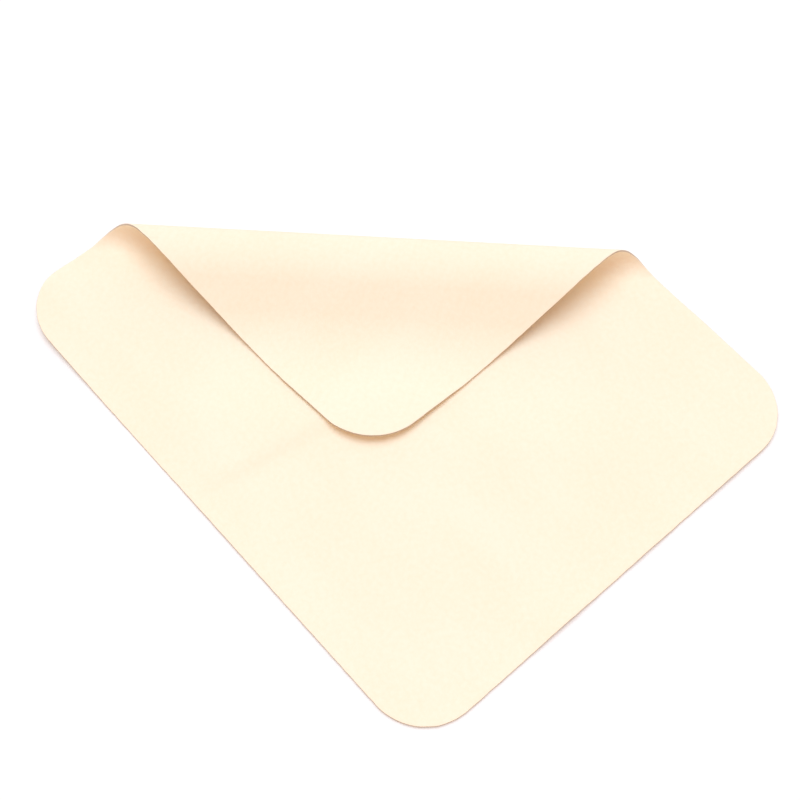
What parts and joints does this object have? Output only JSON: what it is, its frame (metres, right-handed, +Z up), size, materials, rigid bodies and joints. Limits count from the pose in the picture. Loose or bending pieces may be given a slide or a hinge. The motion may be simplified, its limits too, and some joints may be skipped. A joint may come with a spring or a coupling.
{
  "type": "glasses cleaning cloth",
  "caption": "Rectangular suede microfibre lens cloth with rounded corners, lying flat with one corner turned over in a soft open roll that bends back until the sheet is flat.",
  "frame": {"origin": "middle of the cut sheet (the centre of the 179 x 150 mm rectangle), on its underside", "axes": "+Z up, square to the sheet; +X along the fold line, to the right when the turned corner is seen from the front; +Y across the fold, from the near corner towards the corner that is turned over"},
  "size_m": [0.2178, 0.1457, 0.0124],
  "materials": {
    "suede_microfibre": "undyed cream suede microfibre, finely napped and fully matt, with a plain die-cut edge"
  },
  "bodies": {
    "main_panel": {"main_panel": "suede_microfibre"},
    "fold_strip_1": {"fold_strip_1": "suede_microfibre"},
    "fold_strip_2": {"fold_strip_2": "suede_microfibre"},
    "fold_strip_3": {"fold_strip_3": "suede_microfibre"},
    "fold_strip_4": {"fold_strip_4": "suede_microfibre"},
    "fold_strip_5": {"fold_strip_5": "suede_microfibre"},
    "fold_strip_6": {"fold_strip_6": "suede_microfibre"},
    "fold_strip_7": {"fold_strip_7": "suede_microfibre"},
    "fold_strip_8": {"fold_strip_8": "suede_microfibre"},
    "fold_strip_9": {"fold_strip_9": "suede_microfibre"},
    "flap_strip_1": {"flap_strip_1": "suede_microfibre"},
    "flap_strip_2": {"flap_strip_2": "suede_microfibre"},
    "flap_strip_3": {"flap_strip_3": "suede_microfibre"},
    "flap_strip_4": {"flap_strip_4": "suede_microfibre"},
    "flap_corner": {"flap_corner": "suede_microfibre"}
  },
  "joints": [
    {"name": "fold_bend_1", "type": "hinge", "parent": "main_panel", "child": "fold_strip_1", "pos_m": [0, 0.03043, 0.0003], "axis": [-1, 0, 0], "range_deg": [0, 14]},
    {"name": "fold_bend_2", "type": "hinge", "parent": "fold_strip_1", "child": "fold_strip_2", "pos_m": [0, 0.03313, 0.00097], "axis": [-1, 0, 0], "range_deg": [0, 28]},
    {"name": "fold_bend_3", "type": "hinge", "parent": "fold_strip_2", "child": "fold_strip_3", "pos_m": [0, 0.03519, 0.00283], "axis": [-1, 0, 0], "range_deg": [0, 28]},
    {"name": "fold_bend_4", "type": "hinge", "parent": "fold_strip_3", "child": "fold_strip_4", "pos_m": [0, 0.03615, 0.00545], "axis": [-1, 0, 0], "range_deg": [0, 28]},
    {"name": "fold_bend_5", "type": "hinge", "parent": "fold_strip_4", "child": "fold_strip_5", "pos_m": [0, 0.03576, 0.0082], "axis": [-1, 0, 0], "range_deg": [0, 28]},
    {"name": "fold_bend_6", "type": "hinge", "parent": "fold_strip_5", "child": "fold_strip_6", "pos_m": [0, 0.03412, 0.01045], "axis": [-1, 0, 0], "range_deg": [0, 28]},
    {"name": "fold_bend_7", "type": "hinge", "parent": "fold_strip_6", "child": "fold_strip_7", "pos_m": [0, 0.03162, 0.01167], "axis": [-1, 0, 0], "range_deg": [0, 21]},
    {"name": "fold_bend_8", "type": "hinge", "parent": "fold_strip_7", "child": "fold_strip_8", "pos_m": [0, 0.02725, 0.01206], "axis": [-1, 0, 0], "range_deg": [0, 14]},
    {"name": "fold_bend_9", "type": "hinge", "parent": "fold_strip_8", "child": "fold_strip_9", "pos_m": [0, 0.02292, 0.01137], "axis": [-1, 0, 0], "range_deg": [0, 14]},
    {"name": "flap_bend_1", "type": "hinge", "parent": "fold_strip_9", "child": "flap_strip_1", "pos_m": [0, 0.01888, 0.00966], "axis": [-1, 0, 0], "range_deg": [0, 7]},
    {"name": "flap_bend_2", "type": "hinge", "parent": "flap_strip_1", "child": "flap_strip_2", "pos_m": [0, 0.0112, 0.00522], "axis": [-1, 0, 0], "range_deg": [-7, 0]},
    {"name": "flap_bend_3", "type": "hinge", "parent": "flap_strip_2", "child": "flap_strip_3", "pos_m": [0, 0.00447, 0.00236], "axis": [-1, 0, 0], "range_deg": [-14, 0]},
    {"name": "flap_bend_4", "type": "hinge", "parent": "flap_strip_3", "child": "flap_strip_4", "pos_m": [0, -0.00276, 0.00122], "axis": [-1, 0, 0], "range_deg": [-14, 0]},
    {"name": "flap_bend_5", "type": "hinge", "parent": "flap_strip_4", "child": "flap_corner", "pos_m": [0, -0.01004, 0.00186], "axis": [-1, 0, 0], "range_deg": [-7, 0]}
  ],
  "couplings": [
    {"joint": "fold_bend_2", "follows": "fold_bend_1", "ratio": 2},
    {"joint": "fold_bend_3", "follows": "fold_bend_1", "ratio": 2},
    {"joint": "fold_bend_4", "follows": "fold_bend_1", "ratio": 2},
    {"joint": "fold_bend_5", "follows": "fold_bend_1", "ratio": 2},
    {"joint": "fold_bend_6", "follows": "fold_bend_1", "ratio": 2},
    {"joint": "fold_bend_7", "follows": "fold_bend_1", "ratio": 1.5},
    {"joint": "fold_bend_8", "follows": "fold_bend_1", "ratio": 1},
    {"joint": "fold_bend_9", "follows": "fold_bend_1", "ratio": 1},
    {"joint": "flap_bend_1", "follows": "fold_bend_1", "ratio": 0.5},
    {"joint": "flap_bend_2", "follows": "fold_bend_1", "ratio": -0.5},
    {"joint": "flap_bend_3", "follows": "fold_bend_1", "ratio": -1},
    {"joint": "flap_bend_4", "follows": "fold_bend_1", "ratio": -1},
    {"joint": "flap_bend_5", "follows": "fold_bend_1", "ratio": -0.5}
  ]
}
